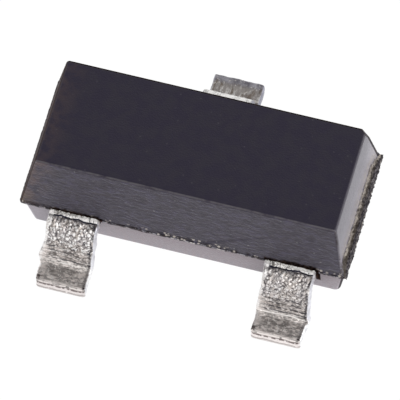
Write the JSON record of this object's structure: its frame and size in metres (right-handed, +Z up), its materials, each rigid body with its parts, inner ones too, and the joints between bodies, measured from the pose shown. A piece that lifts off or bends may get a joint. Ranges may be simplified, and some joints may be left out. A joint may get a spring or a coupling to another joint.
{
  "type": "switching diode",
  "caption": "Small surface-mount switching diode: black moulded body with gull-wing leads on both long sides.",
  "frame": {"origin": "on the board, under the middle of the span over the toes of the leads", "axes": "+X along the body towards the broken gate, -Y towards the two anode leads, +Y towards the cathode lead, +Z up from the board"},
  "size_m": [0.0028, 0.0024, 0.0011],
  "materials": {
    "epoxy": "moulded, matte",
    "tinned_lead": "matte tin plating, lightly crinkled",
    "silver_glue": "satin",
    "silicon": "polished",
    "chip_metal": "bright",
    "gold_wire": "bright drawn gold"
  },
  "bodies": {
    "root": {"body": "epoxy", "lead_anode_left": "tinned_lead", "lead_anode_right": "tinned_lead", "lead_cathode": "tinned_lead", "die_glue_left": "silver_glue", "die_glue_right": "silver_glue", "diode_chip_left": "silicon", "diode_chip_right": "silicon", "anode_contact_left": "chip_metal", "anode_contact_right": "chip_metal", "bond_wire_left": "gold_wire", "bond_wire_right": "gold_wire"}
  },
  "joints": []
}
